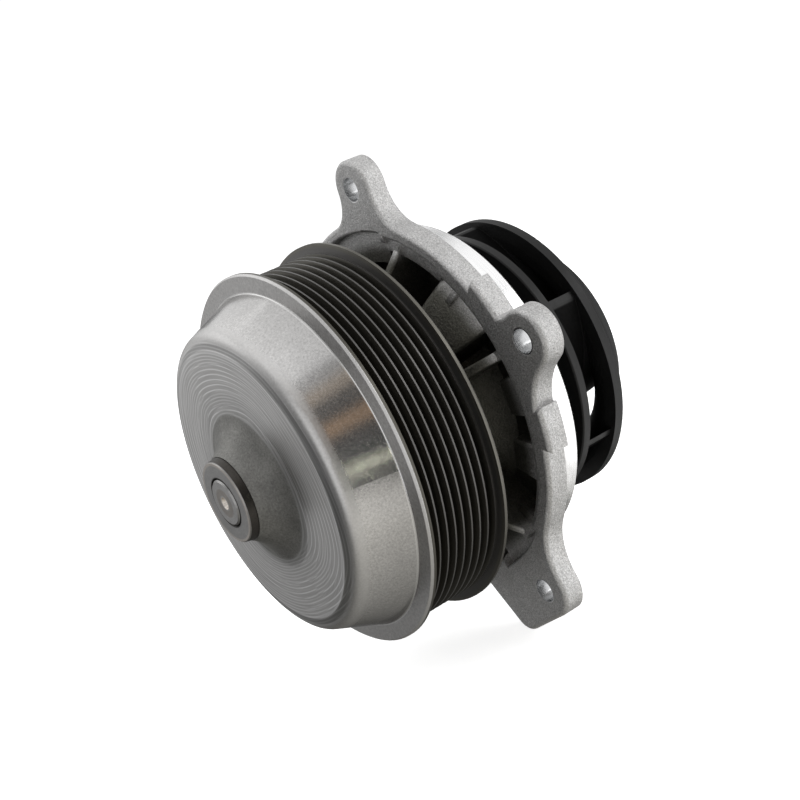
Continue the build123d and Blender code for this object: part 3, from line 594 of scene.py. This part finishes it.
def world(seen, below, above):
    """White behind the object. The light on it grows from below to above."""
    space = bpy.data.worlds.new("studio")
    bpy.context.scene.world = space
    space.use_nodes = True
    graph = Graph(space.node_tree)
    back = graph.node("ShaderNodeBackground")
    back.inputs[0].default_value = (1.0, 1.0, 1.0, 1.0)
    texture = graph.node("ShaderNodeTexCoord")
    parts = graph.node("ShaderNodeSeparateXYZ")
    graph.feed(parts.inputs[0], texture.outputs["Generated"])
    lit = graph.span(parts.outputs[2], -0.3, 0.95, below, above)
    path = graph.node("ShaderNodeLightPath")
    graph.feed(back.inputs[1], graph.span(path.outputs["Is Camera Ray"], 0.0, 1.0, lit, seen))
    output = graph.node("ShaderNodeOutputWorld")
    graph.feed(output.inputs[0], back.outputs[0])


def side_card(name, y_range, z_range, level, tint=(1, 1, 1), distance=0.75):
    """A card on the right, across X, that the pulley's cone mirrors."""
    centre = (distance, sum(y_range) / 2, sum(z_range) / 2)
    width = y_range[1] - y_range[0]
    height = z_range[1] - z_range[0]
    panel(name, centre, (0.0, centre[1], centre[2]), width, height, level, tint)


floor()
world(seen=1.05, below=0.12, above=0.56)

# Name, place, width, height, watts.
softbox("top_light", (0.10, 0.05, 1.5), 2.4, 2.4, 10.0)
softbox("right_light", (1.0, 0.75, 0.45), 0.8, 0.9, 7.0)
softbox("left_light", (-0.9, -0.7, 0.7), 0.8, 0.8, 1.9)
softbox("high_left_light", (-1.05, 0.20, 0.80), 1.2, 0.95, 2.3)

# Name, y from and to, z from and to, level, tint. The dark card stands behind the others.
side_card("dark_card", (-0.60, -0.15), (-0.13, 1.05), 0.12, distance=0.80)
side_card("grey_card", (-0.65, -0.15), (1.00, 1.60), 0.50)
side_card("warm_card_high", (-0.55, -0.15), (0.72, 0.97), 0.56, (1.0, 0.84, 0.68))
side_card("warm_card_low", (-0.47, -0.18), (0.29, 0.42), 0.56, (1.0, 0.68, 0.44))
side_card("streak_card", (-0.47, -0.18), (-0.040, -0.034), 15.0, (1.0, 1.0, 0.80))
side_card("light_card", (-0.60, -0.10), (-0.95, -0.23), 0.90, (1.0, 0.98, 0.93))

# Name, centre, the point it faces, width, height, level.
panel("lower_card", (0.20, -0.25, -0.60), (0.2, -0.2, 0), 2.0, 1.4, 0.08, (1.0, 0.98, 0.92), fade=(0, 1.0))
panel("front_card", (0.55, -0.95, 0.10), (0.05, -0.07, 0), 0.9, 1.2, 1.0)
panel("left_card", (-0.85, -0.42, -0.20), (0, -0.08, 0), 0.9, 0.9, 0.78, fade=(1, 0.20))
panel("right_card", (0.80, 0.70, -0.10), (0.07, 0, 0), 0.9, 1.4, 1.8)
panel("low_back_card", (0.35, 0.75, -0.85), (0.05, 0, 0), 1.1, 0.8, 1.6)


# ============================================================================================
# Camera
# ============================================================================================

FOCAL_LENGTH = 62.118
SENSOR_WIDTH = 36.0
NEAREST = 0.01
CAMERA_PLACE = (0.45206, -0.26812, 0.11352)

lens = bpy.data.cameras.new("camera")
lens.lens = FOCAL_LENGTH
lens.sensor_width = SENSOR_WIDTH
lens.clip_start = NEAREST
camera = bpy.data.objects.new("camera", lens)
bpy.context.scene.collection.objects.link(camera)
right = Vector((0.52137, 0.78503, -0.33451))
up = Vector((0.0, 0.39201, 0.91996))
forward = Vector((-0.85333, 0.47964, -0.20438))
camera.matrix_world = Matrix.Translation(CAMERA_PLACE) @ Matrix(
    (
        (right.x, up.x, -forward.x, 0),
        (right.y, up.y, -forward.y, 0),
        (right.z, up.z, -forward.z, 0),
        (0, 0, 0, 1),
    )
)
bpy.context.scene.camera = camera
bpy.context.scene.view_settings.view_transform = "Standard"
